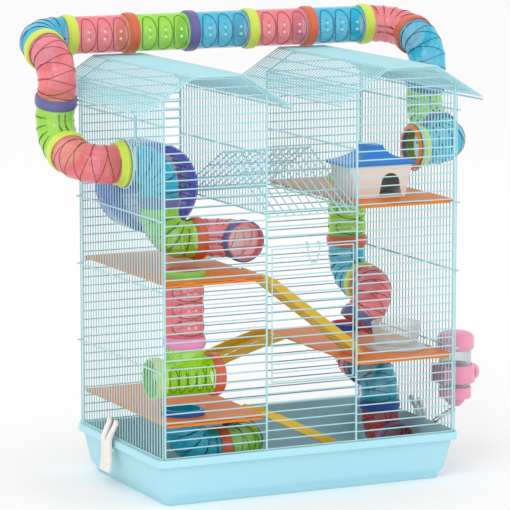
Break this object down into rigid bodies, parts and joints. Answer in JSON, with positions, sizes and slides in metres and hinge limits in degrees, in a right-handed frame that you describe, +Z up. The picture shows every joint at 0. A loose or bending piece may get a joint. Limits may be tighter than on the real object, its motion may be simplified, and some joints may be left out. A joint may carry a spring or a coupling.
{
  "type": "hamster cage",
  "caption": "Two-tower wire hamster cage on a moulded tray, with shelves, ladders, wheel, hut, bowl, water bottle and a run of tubes over the roofs.",
  "frame": {"origin": "centre of the tray's underside", "axes": "+Z up, +X to the right, front towards -Y"},
  "size_m": [0.6424, 0.3658, 0.6546],
  "materials": {
    "tray_plastic": "moulded, light gloss",
    "coated_wire": "powder coated wire",
    "clip_plastic": "moulded",
    "shelf_plastic": "moulded",
    "ladder_plastic": "moulded",
    "wheel_plastic": "translucent, moulded",
    "hut_plastic": "moulded",
    "hut_roof_plastic": "moulded",
    "clear_plastic": "clear, moulded",
    "bottle_plastic": "moulded",
    "steel": "drawn tube",
    "tube_pink": "translucent, moulded",
    "tube_lime": "translucent, moulded",
    "tube_blue": "translucent, moulded",
    "tube_red": "translucent, moulded",
    "ring_orange": "moulded",
    "ring_yellow": "moulded",
    "ring_coral": "moulded",
    "ring_purple": "moulded",
    "ring_blue": "moulded",
    "ring_pink": "moulded"
  },
  "bodies": {
    "cage": {"roof_left": "coated_wire", "roof_right": "coated_wire", "wire_back": "coated_wire", "roof_middle": "coated_wire", "wire_front": "coated_wire", "wire_wall_left": "coated_wire", "wire_wall_right": "coated_wire", "tee_tube": "tube_lime", "tray": "tray_plastic", "food_bowl": "clear_plastic", "wheel_tube_3": "tube_pink", "tray_tube_2": "tube_lime", "drop_tube_3": "tube_pink", "foot_tube_3": "tube_red", "bottle_holder": "bottle_plastic", "left_elbow_2": "tube_pink", "left_elbow_3": "tube_lime", "left_elbow_4": "tube_pink", "right_elbow_2": "tube_blue", "right_elbow_3": "tube_lime", "right_elbow_4": "tube_blue", "wheel_tube_2": "tube_lime", "tray_tube_1": "tube_blue", "drop_tube_2": "tube_blue", "foot_tube_1": "tube_pink", "foot_tube_2": "tube_blue", "tower_wall_left": "coated_wire", "tower_wall_right": "coated_wire", "left_elbow_1": "tube_blue", "right_elbow_1": "tube_pink", "wheel_tube_1": "tube_blue", "wheel_bracket": "wheel_plastic", "top_tube_5": "tube_blue", "entry_ring_left": "ring_orange", "entry_ring_right": "ring_orange", "shelf_upper_left": "shelf_plastic", "shelf_lower_left": "shelf_plastic", "shelf_middle_right": "shelf_plastic", "shelf_upper_right": "shelf_plastic", "hut_body": "hut_plastic", "top_tube_1": "tube_pink", "top_tube_2": "tube_lime", "top_tube_3": "tube_blue", "top_tube_4": "tube_pink", "shelf_tube": "tube_pink", "drop_tube_1": "tube_lime"},
    "wheel": {"exercise_wheel": "wheel_plastic"},
    "door": {"front_door": "coated_wire"},
    "latch": {"door_latch": "coated_wire"},
    "left_clip": {"tray_clip_left": "clip_plastic"},
    "right_clip": {"tray_clip_right": "clip_plastic"},
    "hut_lid": {"hut_roof": "hut_roof_plastic"},
    "bottle": {"bottle_body": "clear_plastic", "bottle_lower_cap": "bottle_plastic", "sipper_tube": "steel"},
    "bottle_lid": {"bottle_top_cap": "bottle_plastic"},
    "upper_ladder": {"ladder_upper": "ladder_plastic"},
    "bridge_ladder": {"ladder_bridge": "ladder_plastic"},
    "floor_ladder": {"ladder_floor": "ladder_plastic"}
  },
  "joints": [
    {"name": "wheel_spin", "type": "hinge", "parent": "cage", "child": "wheel", "pos_m": [-0.155, 0.072, 0.418], "axis": [0, 1, 0], "continuous": true},
    {"name": "door_hinge", "type": "hinge", "parent": "cage", "child": "door", "pos_m": [0, -0.1483, 0.1652], "axis": [1, 0, 0], "range_deg": [0, 100]},
    {"name": "latch_turn", "type": "hinge", "parent": "door", "child": "latch", "pos_m": [0, -0.1511, 0.33], "axis": [1, 0, 0], "range_deg": [0, 90]},
    {"name": "left_clip_turn", "type": "hinge", "parent": "cage", "child": "left_clip", "pos_m": [-0.2316, 0.02, 0.096], "axis": [0, 1, 0], "range_deg": [0, 120]},
    {"name": "right_clip_turn", "type": "hinge", "parent": "cage", "child": "right_clip", "pos_m": [0.2316, -0.02, 0.096], "axis": [0, -1, 0], "range_deg": [0, 120]},
    {"name": "hut_lid_lift", "type": "slide", "parent": "cage", "child": "hut_lid", "axis": [0, 0, 1], "range_m": [0, 0.04]},
    {"name": "bottle_lift", "type": "slide", "parent": "cage", "child": "bottle", "axis": [0, 0, 1], "range_m": [0, 0.04]},
    {"name": "bottle_lid_pull", "type": "slide", "parent": "bottle", "child": "bottle_lid", "axis": [0, 0, 1], "range_m": [0, 0.025]},
    {"name": "upper_ladder_swing", "type": "hinge", "parent": "cage", "child": "upper_ladder", "pos_m": [-0.069, -0.087, 0.311], "axis": [0, -1, 0], "range_deg": [0, 25]},
    {"name": "bridge_ladder_swing", "type": "hinge", "parent": "cage", "child": "bridge_ladder", "pos_m": [0.064, 0.095, 0.183], "axis": [0, 1, 0], "range_deg": [0, 25]},
    {"name": "floor_ladder_swing", "type": "hinge", "parent": "cage", "child": "floor_ladder", "pos_m": [-0.069, -0.093, 0.1165], "axis": [0, -1, 0], "range_deg": [0, 20]}
  ]
}
